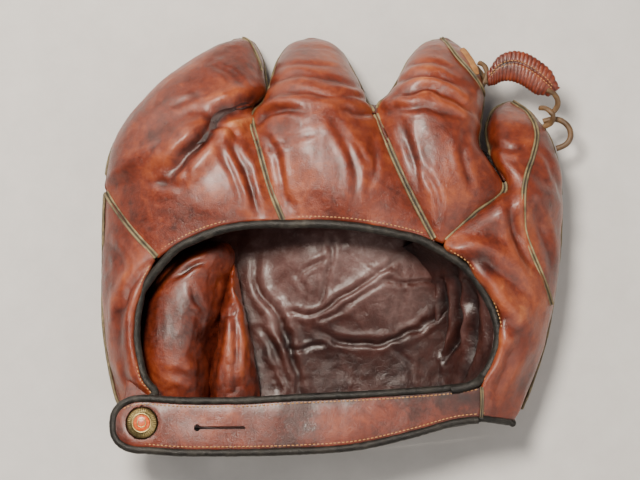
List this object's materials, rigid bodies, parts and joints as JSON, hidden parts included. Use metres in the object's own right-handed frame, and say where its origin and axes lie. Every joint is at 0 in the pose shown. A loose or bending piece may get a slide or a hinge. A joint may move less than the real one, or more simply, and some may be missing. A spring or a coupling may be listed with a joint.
{
  "type": "baseball glove",
  "caption": "Split-finger leather fielder's glove with laced web, felt padding, bound back opening and a buttoned wrist strap.",
  "frame": {"origin": "middle of the outline, on the surface that the glove lies on palm down", "axes": "+X from the outer finger to the thumb, +Y from the heel to the fingertips, +Z out of the back of the glove"},
  "size_m": [0.3041, 0.2763, 0.0858],
  "materials": {
    "cognac_leather": "smooth glossy cowhide, oiled and worn",
    "palm_leather": "smooth cowhide, oiled and worn",
    "dark_lining_leather": "soft lining leather, dark with sweat",
    "black_binding_leather": "rolled black leather",
    "welt_leather": "undyed strip, greyed",
    "lace_rawhide": "rawhide lace",
    "felt": "pressed wool felt",
    "button_metal": "worn brass"
  },
  "bodies": {
    "hand": {"outer_back_panel": "cognac_leather", "middle_back_panel": "cognac_leather", "index_back_panel": "cognac_leather", "thumb_back_panel": "cognac_leather", "heel_side_panel": "cognac_leather", "palm_leather": "palm_leather", "palm_pad": "felt", "palm_lining": "dark_lining_leather", "heel_pad": "felt", "heel_pad_cover": "dark_lining_leather", "opening_binding": "black_binding_leather", "welt_outer_middle": "welt_leather", "welt_middle_index": "welt_leather", "welt_index_thumb": "welt_leather", "welt_heel_side": "welt_leather", "strap_root": "cognac_leather", "strap_root_binding": "black_binding_leather", "button_tab": "cognac_leather", "button_rivet": "button_metal"},
    "web": {"web_upper": "cognac_leather", "web_lower": "cognac_leather", "web_lace": "lace_rawhide"},
    "strap": {"strap_leather": "cognac_leather", "strap_lining": "dark_lining_leather", "strap_binding": "black_binding_leather"},
    "button": {"button_cap": "button_metal"},
    "outer_finger": {"outer_back": "cognac_leather", "outer_front": "palm_leather", "outer_pad": "felt", "outer_lining_back": "dark_lining_leather", "outer_lining_front": "dark_lining_leather"},
    "middle_finger": {"middle_back": "cognac_leather", "middle_front": "palm_leather", "middle_pad": "felt", "middle_lining_back": "dark_lining_leather", "middle_lining_front": "dark_lining_leather"},
    "index_finger": {"index_back": "cognac_leather", "index_front": "palm_leather", "index_pad": "felt", "index_lining_back": "dark_lining_leather", "index_lining_front": "dark_lining_leather", "index_lace": "lace_rawhide"},
    "thumb": {"thumb_back": "cognac_leather", "thumb_front": "palm_leather", "thumb_pad": "felt", "thumb_lining_back": "dark_lining_leather", "thumb_lining_front": "dark_lining_leather", "lace_loop": "lace_rawhide"}
  },
  "joints": [
    {"name": "outer_finger_curl", "type": "hinge", "parent": "hand", "child": "outer_finger", "pos_m": [-0.0987, 0.0572, 0.0172], "axis": [-0.9426, -0.3339, 0], "range_deg": [-8, 50]},
    {"name": "middle_finger_curl", "type": "hinge", "parent": "hand", "child": "middle_finger", "pos_m": [-0.0107, 0.0762, 0.0214], "axis": [-0.9996, -0.027, 0], "range_deg": [-8, 44]},
    {"name": "index_finger_curl", "type": "hinge", "parent": "hand", "child": "index_finger", "pos_m": [0.0603, 0.0672, 0.0201], "axis": [-0.9397, 0.3419, 0], "range_deg": [-6, 45]},
    {"name": "thumb_fold", "type": "hinge", "parent": "hand", "child": "thumb", "pos_m": [0.1243, 0.0397, 0.0166], "axis": [-0.8944, 0.4472, 0], "range_deg": [-8, 50]},
    {"name": "web_swing", "type": "hinge", "parent": "index_finger", "child": "web", "pos_m": [0.1193, 0.0952, 0.038], "axis": [0.9445, -0.3285, 0], "range_deg": [-20, 20]},
    {"name": "strap_open", "type": "hinge", "parent": "hand", "child": "strap", "pos_m": [0.0733, -0.1068, 0.0684], "axis": [0, 1, 0], "range_deg": [0, 150]},
    {"name": "button_turn", "type": "hinge", "parent": "hand", "child": "button", "pos_m": [-0.1177, -0.1178, 0.066], "axis": [0, 0, 1], "continuous": true}
  ],
  "couplings": [
    {"joint": "thumb_fold", "follows": "index_finger_curl", "ratio": 1.1}
  ]
}
